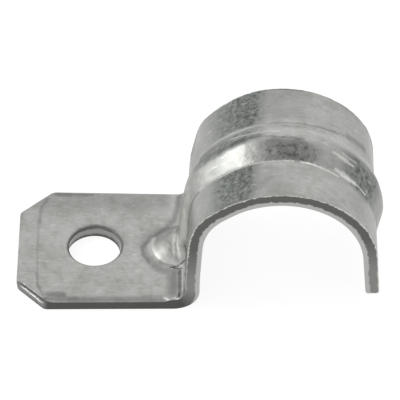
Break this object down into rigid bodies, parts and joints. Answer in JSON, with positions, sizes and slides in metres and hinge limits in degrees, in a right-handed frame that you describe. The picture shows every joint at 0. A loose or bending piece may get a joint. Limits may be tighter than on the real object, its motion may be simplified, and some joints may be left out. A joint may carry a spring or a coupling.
{
  "type": "conduit strap",
  "caption": "One-hole conduit strap: flat foot with a screw hole, fold, half-round arch with a pressed bead, and a short free tail, in one piece of sheet steel.",
  "frame": {"origin": "the screw hole's axis at the foot's underside, which lies on the mounting surface", "axes": "+X from the screw hole towards the conduit, +Y along the conduit, +Z away from the mounting surface"},
  "size_m": [0.0496, 0.02, 0.023],
  "materials": {
    "galvanised_steel": "hot-dip galvanised, matt grey with bright worn spots"
  },
  "bodies": {
    "root": {"strap": "galvanised_steel"}
  },
  "joints": []
}
